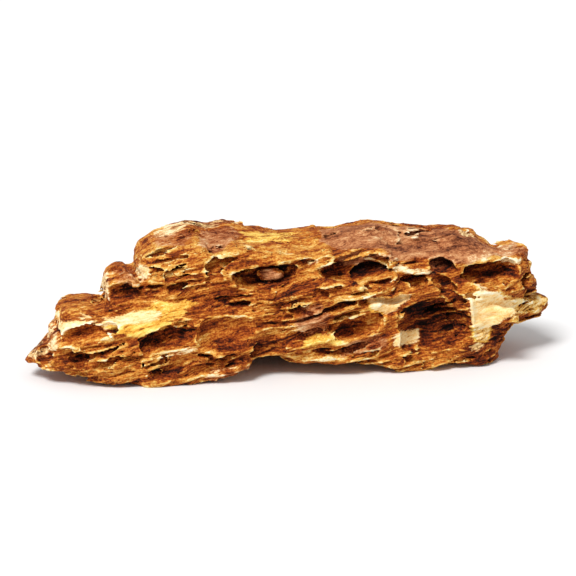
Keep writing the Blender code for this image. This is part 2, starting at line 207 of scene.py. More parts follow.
# The front's hollows, without the face
FRONT_HOLLOWS = {
    "left_scallop": (-98, 25, 29, 10.5, 6, 9),
    "left_low": (-95, 12.5, 29, 7, 4, 8),
    "band_recess": (-61, 21.5, 32, 12, 8, 14),
    "bowl": (-33, 24, 30, 18, 6, 5),
    "foot_recess": (-59, 8, 23, 8, 4.5, 14),
    "foot_slot": (-43, 13, 9, 3.4, 5, 3),
    "block_pit": (-79, 40.5, 18, 10, 6, -5),
    "upper_left_slot": (-56, 50.5, 23, 4.8, 6, 14),
    "upper_left": (-62, 55, 18, 7, 3, 12),
    "upper_middle": (-34, 53, 20, 7, 3, 10),
    "strand_pit": (-64, 44, 9, 4.5, 4, 6),
    "strand_slot": (-54, 42.5, 10, 3.6, 3.5, 12),
    "dark_pit": (-15, 46.5, 28, 11.5, 9, 0),
    "dark_pit_heart": (-23, 48, 13, 6, 15, 0),
    "brow": (-9, 55, 30, 6.5, 4, 5),
    "long_recess": (27, 48.5, 37, 12.5, 8, 6, 2.5),
    "long_recess_heart": (35, 45.5, 23, 6.4, 13, 14),
    "thin_slot": (30, 40, 14, 3.6, 6, 10),
    "small_hole": (-1, 30, 6.5, 4.4, 6, 0),
    "low_hollow": (27, 24, 28, 12, 5.5, 12),
    "window": (64, 22.5, 34, 29, 9, 5, 4),
    "window_slot": (69, 27, 21, 5.4, 14, 17),
    "window_low": (64, 8.5, 34, 6, 3, 5),
    "eye": (70, 48.5, 14, 6, 8, -8),
    "right_pit": (92.5, 44, 30, 10.5, 11, -2, 5),
    "low_eye": (69.5, 40.5, 17, 8.5, 8, -30),
    "middle_right": (53, 42, 20, 8.7, 4, 10),
    "low_right": (22, 12, 34, 5.5, 2.5, 3),
    "low_middle": (-14, 15, 18, 8.7, 4, 12),
    "middle_slot": (-26, 37, 20, 3.4, 3, 4),
}
TOP_SLOT = Hollow("top", 62, -7, 27, 5, 3, 2)

# A lump that stands in a hollow or on the front: its middle, its length, thickness and height, and how far
# its long side rises, in degrees
Lump = namedtuple("Lump", "x y z length thickness height rise")

LUMPS_ON_FRONT = {
    "pit_lump": Lump(-11.5, -22, 46.5, 11, 13, 5, -12),
    "nose_shelf": Lump(91, -30, 25, 26, 8, 9, -12),
    "nose_neck": Lump(110, -5, 34, 14, 22, 10, 0),
    "foot_tip": Lump(-30, -36, 5.5, 18, 10, 8, 18),
}

# Hollows worn at random over a face: how many, the seed that places them, the range of their widths, how
# many times as long as wide they are, and the part of the face's height that they keep to.
Wear = namedtuple("Wear", "count seed widths stretch band")

WEAR = {
    "front": Wear(10, 10, (4.0, 6.0), (2.4, 4.0), (0.1, 0.68)),
    "back": Wear(34, 5, (5.0, 12.0), (1.8, 3.6), (0.08, 0.72)),
    "top": Wear(9, 6, (3.5, 8.0), (2.2, 4.0), (0.3, 0.9)),
    "bottom": Wear(22, 7, (4.0, 10.0), (1.6, 3.0), (0.05, 0.95)),
    "left": Wear(8, 8, (5.0, 10.0), (1.4, 2.6), (0.1, 0.75)),
    "right": Wear(9, 9, (5.0, 11.0), (1.4, 2.6), (0.1, 0.75)),
}

# Their depths for their width, how far they rise in degrees, and how far along the face they reach
WEAR_DEPTH = (0.35, 0.65)
WEAR_RISE = (-2.0, 18.0)
WEAR_REACH = 0.92

# Each face's directions: across it, up it, and out of it
FACES = {
    "front": ((1, 0, 0), (0, 0, 1), (0, -1, 0)),
    "back": ((1, 0, 0), (0, 0, 1), (0, 1, 0)),
    "top": ((1, 0, 0), (0, 1, 0), (0, 0, 1)),
    "bottom": ((1, 0, 0), (0, 1, 0), (0, 0, -1)),
    "left": ((0, 1, 0), (0, 0, 1), (-1, 0, 0)),
    "right": ((0, 1, 0), (0, 0, 1), (1, 0, 0)),
}

# Thin lips and cracks on the front: how far they stand out, their width, how pale they are, and the points
# (x and z) that they run through
Line = namedtuple("Line", "height width pale points")

LINES = {
    "brow_lip": Line(1.4, 1.2, 1.0, ((33, 52), (39, 51), (44, 48.5), (54, 47), (61, 45.5))),
    "eye_rim": Line(0.6, 1.1, 0.9, ((61, 47), (63, 51), (68, 53), (75, 52.5))),
    "crest_ridge": Line(1.5, 1.3, 0.9, ((-8, 53), (2, 54), (10, 54.5), (16, 56))),
    "crest_ring": Line(1.0, 1.0, 0.9, ((10, 52), (15, 52), (17, 54), (15, 56))),
    "crest_top": Line(0.5, 1.6, 0.7, ((-27, 58), (-18, 57), (-9, 56), (0, 55.5), (12, 56.5))),
    "crest_dots": Line(0.5, 1.4, 0.8, ((-44, 58), (-35, 56.5), (-27, 57.5))),
    "pit_rim": Line(1.0, 1.1, 0.6, ((-31, 48), (-29, 51), (-25, 54), (-17, 55), (-7, 53.5))),
    "upper_left_edge": Line(0.5, 1.6, 1.0, ((-72, 44), (-71, 49), (-69, 53), (-62, 57), (-54, 59))),
    "slot_lip": Line(1.3, 1.1, 0.8, ((-67, 46), (-61, 46.5), (-53, 48.5), (-46, 51))),
    "block_top_edge": Line(0.8, 1.2, 0.9, ((-85, 44), (-80, 45), (-73, 44))),
    "block_rim": Line(0.3, 1.3, 0.7, ((-85, 43.5), (-87, 39), (-87, 37))),
    "scallop_top": Line(
        1.2, 1.1, 0.8, ((-109, 24), (-106, 27), (-101, 29), (-94, 29.5), (-90, 28.5), (-86, 25))
    ),
    "scallop_foot": Line(1.2, 1.2, 0.6, ((-111, 18), (-104, 20), (-96, 21.5), (-91, 23), (-86, 24))),
    "left_edge": Line(0.1, 1.4, 0.6, ((-108, 25), (-111, 20), (-113, 16))),
    "tip_block": Line(0.8, 1.0, 0.9, ((-115, 13), (-110, 15), (-110, 12))),
    "left_ridge": Line(0.9, 1.4, 0.7, ((-109, 15.5), (-104, 17), (-97, 17), (-90, 14.5))),
    "ledge": Line(
        1.5, 1.2, 0.8, ((-72, 12), (-67, 14), (-60, 16), (-53, 18), (-48, 18), (-43, 16.5), (-36, 15))
    ),
    "strands": Line(0.9, 0.9, 0.8, ((-83, 9), (-79, 11), (-74, 8.5), (-71, 11))),
    "left_bottom_rim": Line(0.7, 1.5, 1.0, ((-71, 1.5), (-61, 2.5), (-53, 3), (-43, 4.5), (-36, 6))),
    "long_recess_lip": Line(1.5, 1.2, 0.7, ((10, 43), (18, 43), (28, 42.5), (35, 43.5), (45, 45.5))),
    "thin_slot_lip": Line(1.2, 1.1, 0.6, ((10, 36), (19, 37), (26, 38), (34, 38.5), (43, 41))),
    "curved_lip": Line(1.1, 1.1, 0.7, ((7, 32), (16, 31), (24, 33.5), (32, 38))),
    "arc": Line(1.3, 0.9, 0.8, ((12, 18), (16, 22), (22, 26), (26, 28.5), (31, 31), (37, 33))),
    "yellow_ridge": Line(1.2, 1.6, 0.6, ((-5, 12), (-1, 15), (4, 17), (9, 19), (15, 17.5), (22, 16))),
    "right_bottom_rim": Line(
        0.8, 1.4, 0.9, ((-5, 10), (-1, 8.5), (5, 8.5), (14, 9), (23, 8.5), (33, 7), (42, 5))
    ),
    "right_bottom_line": Line(0.7, 1.0, 0.7, ((44, 5), (53, 4), (66, 5), (78, 5))),
    "block_edge": Line(1.0, 1.0, 0.9, ((57, 19), (57.5, 14), (55, 12))),
    "window_right": Line(0.9, 1.1, 0.7, ((80, 32), (81, 27), (81.5, 21), (82.5, 13))),
    "window_top": Line(1.0, 1.0, 0.4, ((47, 26), (51, 32), (56, 36), (65, 38.5), (75, 37), (80, 33))),
    "nose_top": Line(1.2, 1.3, 1.0, ((77, 37), (83, 37.5), (92, 36), (99, 31), (105, 28), (114, 26.5))),
    "nose_foot": Line(1.0, 1.3, 0.6, ((90, 19), (97, 22), (108, 20.5), (117, 21))),
    "right_pit_rim": Line(0.5, 1.1, 1.0, ((88, 49.5), (97, 49), (103, 49), (107, 48))),
    "right_pit_foot": Line(0.9, 1.1, 0.7, ((79, 41), (85, 39.5), (91, 39), (104, 39))),
    "top_dots": Line(0.6, 1.0, 0.8, ((36, 58.5), (47, 58), (55, 57), (62, 56))),
    "lens": Line(0.9, 1.3, 0.5, ((-26, 21), (-20, 24), (-14, 25))),
    "low_curls": Line(0.8, 0.9, 0.7, ((-19, 12), (-13, 15), (-7, 17))),
    "top_cut": Line(-2.0, 1.1, 0.0, ((46, 55), (52, 56), (57, 55.5), (63, 55), (70, 54.5))),
    "foot_corner_cut": Line(-5.0, 2.6, 0.0, ((-31, 0), (-24, 2), (-20, 5))),
}

# How far round a line its strength is worked out, how far back it still shows, how much the fibres pull at
# it, and the waves that make it wander
LINE_REACH = 7.0
LINE_BACK = 26.0
LINE_TEAR = 0.8
LINE_WANDER = ((9.0, 1.1), (3.5, 0.5))
LINE_SEED = 97

# Small scoops strewn over the whole surface in line with the bedding: how many, the seed, the ranges of
# their widths, of how many times as long as wide they are and of their depth for their width, and the
# height and width of the rim round each
Strewn = namedtuple("Strewn", "count seed widths stretch deepness rim rim_width")
SCOOPS = (
    Strewn(120, 70, (2.0, 4.6), (1.6, 4.5), (0.2, 0.45), 0.3, 1.0),
    Strewn(700, 71, (1.0, 2.0), (2.5, 8.0), (0.25, 0.6), 0.12, 0.7),
)

# How far the scoops turn from the bedding, in degrees as they rise and in radians seen from above, and the
# share of the bedding's direction below which a face counts as lying across it
SCOOP_TURN = 7.0
SCOOP_YAW = 0.3
SCOOP_END_ON = 0.4

# Fibres along the bedding: their length, breadth and thickness, how far they stand out, and their seed
Fibres = namedtuple("Fibres", "length breadth thickness relief seed")
FIBRES = (
    Fibres(length=32.0, breadth=9.0, thickness=2.8, relief=0.7, seed=80),
    Fibres(length=14.0, breadth=5.0, thickness=1.6, relief=0.5, seed=81),
)
FIBRE_DIP = 12.0
FIBRE_SWAY = (24.0, 2.0)
FIBRE_SWAY_SEED = 90

# How steeply a fibre's sides fall from its back, and how deep in the stone fibres are worked out
FIBRE_SWING = 2.6
FIBRE_REACH = 6.0

# The fine relief: how strong it is, how that varies from place to place and within which limits, and how
# far from the surface it is worked out
ROUGHNESS = 0.8
ROUGHNESS_VARIATION = (27.0, 0.8)
ROUGHNESS_SEED = 95
ROUGHNESS_RANGE = (0.25, 1.3)
FINE_REACH = 3.5

# The grain of the whole surface, the grit inside the hollows, and how deep a hollow is where its grit begins
# in full
GRAIN = ((3.4, 0.22), (1.9, 0.14))
GRAIN_SEED = 85
GRIT = (1.7, 0.3)
GRIT_SEED = 88
GRIT_DEPTH = 2.5

# How much lower the fine relief stands inside the hollows and on top of the stone, and how much of the grain
# a calm place loses
WORN_SMOOTHER = 0.5
TOP_SMOOTHER = 0.55
CALM_GRAIN = 0.6

# How far the fibres pull at the outline of what is carved among them: along, inward and upward
TEAR = (0.0, 0.6, 1.7)
TEAR_REACH = 5.0
FINE_WARP = (4.2, 0.7)


def lookup(lattice, cell):
    """Values of a lattice at fractional cell positions, blended between the eight nearest points."""
    corner = np.floor(cell).astype(np.int64)
    share = cell - corner
    corner = [corner[:, axis] % lattice.shape[axis] for axis in range(3)]
    following = [(corner[axis] + 1) % lattice.shape[axis] for axis in range(3)]
    total = np.zeros(len(cell))
    for ends in itertools.product((0, 1), repeat=3):
        weight = np.ones(len(cell))
        for axis, end in enumerate(ends):
            weight *= share[:, axis] if end else 1.0 - share[:, axis]
        i, j, k = (following[axis] if end else corner[axis] for axis, end in enumerate(ends))
        total += weight * lattice[i, j, k]
    return total


@functools.cache
def random_lattice(seed):
    """A lattice of random values between -1 and 1."""
    return np.random.default_rng(seed).uniform(-1.0, 1.0, (NOISE_CELLS,) * 3)


def noise(points, wave, seed):
    """Smooth random values between -1 and 1 that vary over about a wave's length."""
    cell = points / wave
    whole = np.floor(cell)
    share = cell - whole
    return lookup(random_lattice(seed), whole + share * share * (3.0 - 2.0 * share))


def layered_noise(points, layers, seed):
    """The sum of a noise for each pair of a wave and an amplitude."""
    return sum(size * noise(points, wave, seed + number) for number, (wave, size) in enumerate(layers))


def joined(a, b, width):
    """The greater of two depths, with the crease between them filled over the given width."""
    blend = np.maximum(width - np.abs(a - b), 0.0) / width
    return np.maximum(a, b) + blend * blend * width / 4.0


def gap_to(x, y, points):
    """How far places lie from a line through points."""
    nearest = np.full(x.shape, np.inf)
    for (x0, y0), (x1, y1) in zip(points, points[1:]):
        along_x, along_y = x1 - x0, y1 - y0
        share = ((x - x0) * along_x + (y - y0) * along_y) / (along_x**2 + along_y**2)
        share = np.clip(share, 0.0, 1.0)
        nearest = np.minimum(nearest, np.hypot(x - x0 - share * along_x, y - y0 - share * along_y))
    return nearest


def outline_depth(outline, x, y):
    """How deep points lie inside a closed outline, negative outside it."""
    closed = outline + outline[:1]
    nearest = gap_to(x, y, closed)
    inside = np.zeros(len(x), bool)
    for (x0, y0), (x1, y1) in zip(closed, closed[1:]):
        if y0 != y1:
            passes = (y0 > y) != (y1 > y)
            inside ^= passes & (x < x0 + (y - y0) * (x1 - x0) / (y1 - y0))
    return np.where(inside, nearest, -nearest)


def slab_depth(points, slab):
    """How deep points lie inside a slab, with its edges rounded."""
    x, y, z = points.T
    share = np.clip(z / HEIGHT, 0.0, 1.0)
    raised = z + share * slab.crown * (y - slab.ridge) ** 2
    from_front = outline_depth(slab.front, x, raised)
    from_above = outline_depth(slab.plan, x, y)
    return -joined(-from_front, -from_above, SLAB_EDGE)


def slabs_depth(points):
    """How deep points lie inside the joined slabs."""
    wave, shift = BEND
    moved = points + shift * np.stack([noise(points, wave, seed) for seed in BEND_SEEDS], axis=1)
    return functools.reduce(
        lambda depth, slab: joined(depth, slab_depth(moved, slab), SLAB_JOIN),
        list(SLABS.values())[1:],
        slab_depth(moved, SLABS["upper"]),
    )


def turned(points, dip):
    """How far points lie along and above a direction in the X-Z plane that rises by some degrees."""
    dip = math.radians(dip)
    x, z = points[..., 0], points[..., 2]
    return x * math.cos(dip) + z * math.sin(dip), z * math.cos(dip) - x * math.sin(dip)


def ledges(points, height, layers):
    """How far the layers' edges stand out: each layer juts at its top and is worn back below."""
    layer = np.floor(height / layers.spacing)
    phase = height / layers.spacing - layer
    jut = phase * phase * (1.0 - phase**layers.suddenness) * LEDGE_SWING - LEDGE_SETBACK
    own = np.stack([points[:, 0], points[:, 1], layer * LEDGE_APART * layers.length], axis=1)
    strength = LEDGE_SHARE + LEDGE_VARIATION * noise(own, layers.length, layers.seed)
    return layers.relief * np.clip(strength, 0.0, 1.0) * jut


def body_depth(points):
    """How deep points lie inside the stone before its hollows are made."""
    height = turned(points, BEDDING_DIP)[1] + layered_noise(points, BEDDING_WANDER, WANDER_SEED)
    return slabs_depth(points) + layered_noise(points, LUMPS, LUMP_SEED) + ledges(points, height, LEDGES)


def worn_hollows():
    """Hollows strewn over the faces, longer than they are wide and roughly in line with the bedding."""
    found = []
    for face, wear in WEAR.items():
        chance = np.random.default_rng(wear.seed)
        across = DEPTH / 2 if face in ("left", "right") else LENGTH / 2
        for _ in range(wear.count):
            x = chance.uniform(-WEAR_REACH, WEAR_REACH) * across
            share = chance.uniform(*wear.band)
            y = (share - 0.5) * DEPTH if face in ("top", "bottom") else share * HEIGHT
            width = chance.uniform(*wear.widths)
            length = width * chance.uniform(*wear.stretch)
            deepness = width * chance.uniform(*WEAR_DEPTH)
            found.append(Hollow(face, x, y, length, width, deepness, chance.uniform(*WEAR_RISE)))
    return found


# A grid of points: its lowest corner, the step between them and how many lie along each axis
Grid = namedtuple("Grid", "lowest step shape")


def grid_round_stone(step):
    """A grid over the stone and a margin round it."""
    lowest = np.array([-LENGTH / 2, -DEPTH / 2, 0.0]) - GRID_MARGIN
    highest = np.array([LENGTH / 2, DEPTH / 2, HEIGHT]) + GRID_MARGIN
    return Grid(lowest, step, tuple(np.ceil((highest - lowest) / step).astype(int) + 1))


def grid_points(grid, parts=(slice(None),) * 3):
    """The places of a part of a grid."""
    axes = [grid.lowest[axis] + grid.step * np.arange(grid.shape[axis])[parts[axis]] for axis in range(3)]
    return np.stack(np.meshgrid(*axes, indexing="ij"), axis=-1)


def part_between(grid, lowest, highest):
    """The part of a grid between two corners."""
    first = np.maximum(np.ceil((lowest - grid.lowest) / grid.step).astype(int), 0)
    last = np.floor((highest - grid.lowest) / grid.step).astype(int) + 1
    return tuple(slice(low, max(high, low)) for low, high in zip(first, last))


def sampled(values, grid, points):
    """Values of a grid at points between its own."""
    cell = (points - grid.lowest) / grid.step
    return lookup(values, np.clip(cell, 0.0, np.array(grid.shape) - 1.001))


def laid_along(row, axis):
    """A row of values as an array that runs along one axis of a grid."""
    return row.reshape([-1 if other == axis else 1 for other in range(3)])


def refined(values, coarse, fine):
    """A coarse grid's values blended onto a fine grid that starts at the same corner or further in."""
    for axis in range(3):
        offset = fine.lowest[axis] - coarse.lowest[axis]
        place = (offset + fine.step * np.arange(fine.shape[axis])) / coarse.step
        first = np.clip(np.floor(place).astype(int), 0, coarse.shape[axis] - 2)
        share = laid_along(place - first, axis)
        values = values.take(first, axis=axis) * (1.0 - share) + values.take(first + 1, axis=axis) * share
    return values


# A scoop to carve: where it meets the surface, its directions along, over and out, half its length and
# width, its depth, how much it leans in under its upper lip, the rim that stands round it, and how square
# its outline is
Scoop = namedtuple(
    "Scoop",
    "centre along over outward half_length half_width depth lean rim rim_width squareness",
    defaults=(2,),
)


def scoop_of(hollow):
    """A named or worn hollow as a scoop, or None where its line misses the body."""
    across, up, outward = (np.array(axis, float) for axis in FACES[hollow.face])
    reach = np.arange(LENGTH, -LENGTH, -SEAT_STEP)
    line = hollow.x * across + hollow.y * up + reach[:, None] * outward
    inside = body_depth(line) > 0.0
    if not inside.any():
        return None
    rise = math.radians(hollow.rise)
    return Scoop(
        centre=line[np.argmax(inside)],
        along=across * math.cos(rise) + up * math.sin(rise),
        over=up * math.cos(rise) - across * math.sin(rise),
        outward=outward,
        half_length=hollow.length / 2,
        half_width=hollow.width / 2,
        depth=hollow.depth,
        lean=0.0 if hollow.face in ("top", "bottom") else UNDERCUT,
        rim=RIM_HEIGHT,
        rim_width=RIM_WIDTH,
        squareness=hollow.squareness,
    )


def outside_scoop(points, scoop):
    """How far points lie outside a scoop's rounded space, which leans in under its upper lip."""
    deep = scoop.depth * HOLLOW_BULGE
    away = points - scoop.centre - (deep - scoop.depth) * scoop.outward
    inward = -(away @ scoop.outward)
    half = np.array([scoop.half_length, scoop.half_width, deep])
    local = np.stack([away @ scoop.along, away @ scoop.over - scoop.lean * inward, inward], axis=1) / half
    round_face = np.sum(np.abs(local[:, :2]) ** scoop.squareness, axis=1) ** (1.0 / scoop.squareness)
    near = np.hypot(round_face, local[:, 2])
    slope = np.linalg.norm(local / half, axis=1) + TINY
    return near * (near - 1.0) / slope


def lump_depth(points, lump):
    """How deep points lie inside a lump."""
    away = points - (lump.x, lump.y, lump.z)
    along, over = turned(away, lump.rise)
    half = np.array([lump.length, lump.thickness, lump.height]) / 2
    local = np.stack([along, away[:, 1], over], axis=1) / half
    near = np.linalg.norm(local, axis=1)
    slope = np.linalg.norm(local / half, axis=1) + TINY
    return near * (1.0 - near) / slope


def carve(depth, grid, moved, scoop):
    """Wears one scoop into a grid of depths, with an outline torn along the fibres and a low rim."""
    reach = scoop.half_length + RIM_REACH * scoop.rim_width
    part = part_between(grid, scoop.centre - reach - TEAR_REACH, scoop.centre + reach + TEAR_REACH)
    points = moved[part].reshape(-1, 3)
    if len(points) == 0:
        return
    gap = outside_scoop(points, scoop)
    rim = scoop.rim * np.exp(-((np.maximum(gap, 0.0) / scoop.rim_width) ** 2))
    near = (np.abs(points - scoop.centre) < reach).all(axis=1)
    old = depth[part].ravel()
    depth[part] = np.where(near, np.minimum(old + rim, gap), old).reshape(depth[part].shape)


def strewn_scoops(depth, grid, moved, calm, strewn):
    """Small scoops at random places of the surface, each turned to lie along the bedding there."""
    chance = np.random.default_rng(strewn.seed)
    places = np.argwhere(np.abs(depth) < 0.5 * grid.step)
    places = places[chance.random(len(places)) > calm[tuple(places.T)]]
    places = places[chance.choice(len(places), strewn.count, replace=False)]
    steps = 2 * np.eye(3, dtype=int)
    slope = np.stack([depth[tuple((places + s).T)] - depth[tuple((places - s).T)] for s in steps], axis=1)
    outward = -slope / (np.linalg.norm(slope, axis=1, keepdims=True) + LEAST_SLOPE)
    for place, out in zip(places, outward):
        rise = math.radians(BEDDING_DIP + chance.normal(0.0, SCOOP_TURN))
        yaw = chance.normal(0.0, SCOOP_YAW)
        bedding = np.array([math.cos(rise) * math.cos(yaw), math.sin(yaw), math.sin(rise)])
        along = bedding - (bedding @ out) * out
        if np.linalg.norm(along) < SCOOP_END_ON:
            # The face lies across the bedding, so the scoop is laid along Y
            along = np.array([0.0, 1.0, 0.0]) - out[1] * out
        along /= np.linalg.norm(along)
        over = np.cross(out, along)
        over *= 1.0 if over[2] >= 0.0 else -1.0
        width = chance.uniform(*strewn.widths)
        yield Scoop(
            centre=moved[tuple(place)].astype(float),
            along=along,
            over=over,
            outward=out,
            half_length=width * chance.uniform(*strewn.stretch) / 2,
            half_width=width / 2,
            depth=width * chance.uniform(*strewn.deepness),
            lean=UNDERCUT,
            rim=strewn.rim,
            rim_width=strewn.rim_width,
        )


def grid_noise(grid, wave, seed):
    """The noise function's values on a whole grid, blended one axis at a time."""
    values = random_lattice(seed)
    for axis in range(3):
        cell = (grid.lowest[axis] + grid.step * np.arange(grid.shape[axis])) / wave
        whole = np.floor(cell).astype(int)
        share = laid_along(cell - whole, axis)
        low = values.take(whole % NOISE_CELLS, axis=axis)
        high = values.take((whole + 1) % NOISE_CELLS, axis=axis)
        values = low + share * share * (3.0 - 2.0 * share) * (high - low)
    return values


def layered_grid_noise(grid, layers, seed):
    """The sum of a grid's noise for each pair of a wave and an amplitude."""
    return sum(size * grid_noise(grid, wave, seed + number) for number, (wave, size) in enumerate(layers))


def fibre_relief(points, sway):
    """How far the fibres stand out. Each has a sharp back."""
    along, above = turned(points, FIBRE_DIP)
    above = above + sway
    relief = 0.0
    for kind in FIBRES:
        place = np.stack([along / kind.length, points[:, 1] / kind.breadth, above / kind.thickness], axis=1)
        relief += kind.relief * (1.0 - FIBRE_SWING * np.abs(noise(place, 1.0, kind.seed)))
    return relief


def torn_places(grid, pull):
    """Where each grid point is looked up in the hollows, so that their outlines are torn and uneven."""
    moved = []
    for axis, seed in enumerate(WARP_SEEDS):
        straight = grid.lowest[axis] + grid.step * np.arange(grid.shape[axis])
        place = laid_along(straight, axis) + TEAR[axis] * pull
        for number, (wave, size) in enumerate([*HOLLOW_WARPS, FINE_WARP]):
            place = place + size * grid_noise(grid, wave, seed + number)
        moved.append(place.astype(np.float32))
    return np.stack(moved, axis=-1)


def line_strength(places, sway, line):
    """How strongly places show a line on the front, from 0 to 1, with the line swayed by so much."""
    gap = gap_to(places[..., 0], places[..., 2] + sway, line.points)
    return np.exp(-((gap / line.width) ** 2)) * (places[..., 1] < LINE_BACK)


def draw_line(depth, grid, sway, line):
    """Raises a lip, or cuts a crack, along a line on the front."""
    ends = np.array(line.points, float)
    low, high = ends.min(axis=0) - LINE_REACH, ends.max(axis=0) + LINE_REACH
    part = part_between(grid, np.array([low[0], -DEPTH, low[1]]), np.array([high[0], LINE_BACK, high[1]]))
    depth[part] += line.height * line_strength(grid_points(grid, part), sway[part], line)


# A patch of another colour or smoothness: its tint, the face that it lies on, how strongly it shows, how
# smooth it is, and its outline (x and z on the front, x and y on the top)
Patch = namedtuple("Patch", "tint face strength smooth points")

# How softly a patch ends, and the waves that fray its outline
PATCH_SOFTNESS = 1.8
PATCH_FRAY = ((9.0, 1.3), (3.4, 0.8))
FRAY_SEEDS = (100, 105, 110)

# How far back the front's patches reach, how low the top's do, over what way they fade out there, and how
# much room round a patch its strength is worked out in
PATCH_BACK = 4.0
PATCH_FLOOR = 44.0
PATCH_FADE = 4.0
PATCH_MARGIN = 2.0

# The patches by tint and face: strength, smoothness and outline
PATCHES_BY_TINT = {
    ("yellow", "front"): (
        (0.9, 0.5, (
            (-110, 26), (-104, 29), (-95, 30.5), (-84, 31), (-74, 32), (-66, 34.5), (-51, 37), (-46, 34),
            (-52, 32), (-57, 31), (-59, 26), (-65, 24), (-74, 24), (-83, 25), (-87, 27), (-92, 29),
            (-101, 28), (-109, 23),
        )),
        (1.0, 0.3, ((31, 37), (37, 36), (43, 34), (42, 29), (38, 27), (33, 30))),
        (0.8, 0.2, ((0, 15), (4, 18), (9, 20), (16, 18.5), (21, 16), (9, 15), (3, 13))),
        (0.7, 0.0, ((98, 31), (111, 29), (122, 27), (125, 22), (115, 19), (103, 22), (96, 25))),
        (0.8, 0.1, ((80, 22), (91, 21), (91, 11), (82, 12))),
    ),
    ("yellow", "top"): (
        (0.6, 0.3, ((-22, 14), (-9, 17), (6, 16), (2, -5), (-10, -7), (-20, -7))),
    ),
    ("pale", "front"): (
        (0.85, 0.7, (
            (-110, 26), (-104, 29), (-95, 30.5), (-84, 31), (-73, 32), (-62, 33), (-62, 30), (-73, 29),
            (-84, 28.5), (-94, 28.5), (-101, 27), (-109, 23),
        )),
        (0.4, 0.2, ((-90, 29), (-85, 27), (-84, 24), (-87, 24))),
        (0.4, 0.8, ((-44, 5), (-36, 8), (-24, 9), (-20, 5), (-27, 0), (-42, 0))),
        (0.55, 0.2, ((-107, 26), (-109, 22), (-112, 15), (-115, 15), (-112, 22))),
        (0.6, 0.0, ((-124, 8), (-121, 12), (-116, 15.5), (-112, 14), (-113, 10), (-120, 9))),
        (0.4, 0.0, ((-68, 14), (-60, 16), (-52, 18.5), (-46, 17), (-52, 15), (-61, 13))),
        (0.6, 0.3, ((-89, 44), (-85, 45), (-85, 41), (-86, 36), (-89, 36))),
        (0.8, 0.2, ((-72, 44), (-71, 50), (-67, 50), (-67, 48), (-70, 45))),
        (1.1, 0.8, (
            (30, 37.5), (37, 37), (44, 36.5), (52, 39), (52, 36), (47, 33), (45, 29), (40, 28), (34, 32),
        )),
        (1.0, 0.6, ((43, 19), (50, 19.5), (57, 19), (57, 14), (52, 12), (43, 13.5))),
        (0.8, 0.3, ((29, 12), (35, 12.5), (38, 13), (38, 11), (30, 10))),
        (1.1, 0.8, (
            (78, 36), (83, 37.5), (92, 37), (98, 32), (104, 26), (98, 24), (91, 19), (81, 20.5), (79, 31),
        )),
        (0.45, 0.3, ((100, 31), (111, 29), (120, 28), (126, 22), (115, 19), (103, 22), (98, 25))),
        (0.5, 0.1, ((81, 21), (90, 20), (90, 12), (83, 13))),
        (0.8, 0.2, ((79, 10.5), (85, 12), (90, 11), (86, 8), (81, 6.5))),
        (0.7, 0.3, ((44, 49), (47, 50), (55, 48), (66, 46), (66, 44), (55, 46), (45, 47))),
        (0.8, 0.0, ((96, 47), (102, 49), (109, 48), (107, 46), (99, 46))),
        (0.8, 0.0, ((4, 53), (7, 54), (10, 53), (6, 51))),
    ),
    ("pale", "top"): (
        (0.5, 0.2, ((-68, 7), (-61, 15), (-53, 20), (-42, 24), (-47, 8), (-57, 6))),
        (0.5, 0.1, ((-62, 16), (-48, 30), (-24, 34), (-20, 24), (-40, 20), (-52, 10))),
        (0.6, 0.2, ((81, 2), (87, 8), (90, 3), (82, -4))),
    ),
    ("skin", "front"): (
        (0.5, 0.6, ((-85, 45), (-80, 48), (-73, 48), (-73, 43), (-79, 43))),
        (1.0, 0.5, ((-17, 48), (-11, 50), (-5, 46), (-8, 44), (-15, 44))),
        (0.6, 0.0, ((1, 33), (9, 35), (15, 30), (14, 21), (8, 17), (2, 19), (-2, 26))),
        (0.6, 0.3, ((23, 17), (39, 18), (42, 13), (29, 10), (17, 11))),
        (0.9, 0.6, ((34, 54), (50, 51), (67, 50), (77, 49), (89, 50), (89, 54), (66, 54), (34, 56))),
    ),
    ("skin", "top"): (
        (1.0, 0.7, (
            (17, 16), (35, 8), (59, 18), (82, 8), (93, 0), (98, -8), (90, -21), (66, -24), (34, -22),
            (21, -20), (14, -7),
        )),
        (0.65, 0.5, ((-40, 14), (-25, 18), (-20, 10), (-29, -14), (-43, -17))),
        (0.55, 0.4, ((-63, 10), (-48, 6), (-42, 3), (-50, -13), (-62, -6))),
        (0.7, 0.4, ((94, -3), (109, 2), (113, -8), (104, -14), (90, -20))),
    ),
    # The front's dark patches lie in its hollows and recesses and under the nose: there they are painted
    # shade
    ("dark", "front"): (
        (1.0, 0.0, (
            (47, 26), (53, 32), (56, 37), (66, 38), (77, 36), (80, 31), (82, 13), (78, 10), (65, 9),
            (57, 9), (58, 19), (48, 20),
        )),
        (1.0, 0.2, (
            (-76, 18), (-70, 21), (-60, 23), (-52, 27), (-46, 27), (-47, 22), (-57, 18), (-68, 15.5),
        )),
        (1.2, 0.7, ((11, 48), (21, 52), (35, 51), (45, 49), (44, 46), (40, 44), (25, 44), (12, 44))),
        (1.0, 0.9, ((78, 49.5), (107, 49.5), (107, 39), (79, 39))),
        (1.0, 0.9, ((63, 51), (75, 52), (78, 47), (76, 38), (68, 38), (62, 44))),
        (1.5, 0.0, ((90, 20), (96, 21), (97, 11), (91, 11))),
        (1.0, 0.0, ((84, 7), (93, 6), (92, 1), (83, 2))),
        (0.3, 0.95, ((-46, 33), (-26, 34), (-16, 31), (-17, 15), (-34, 14), (-48, 17))),
        (0.2, 0.95, ((-110, 22), (-106, 26), (-97, 29), (-88, 27), (-87, 24), (-97, 21), (-110, 19))),
        (0.5, 0.7, ((-87, 42), (-73, 43), (-72, 38), (-80, 36), (-87, 38))),
        (0.1, 0.95, ((13, 20), (20, 26), (30, 30), (40, 30), (39, 22), (24, 16))),
    ),
}
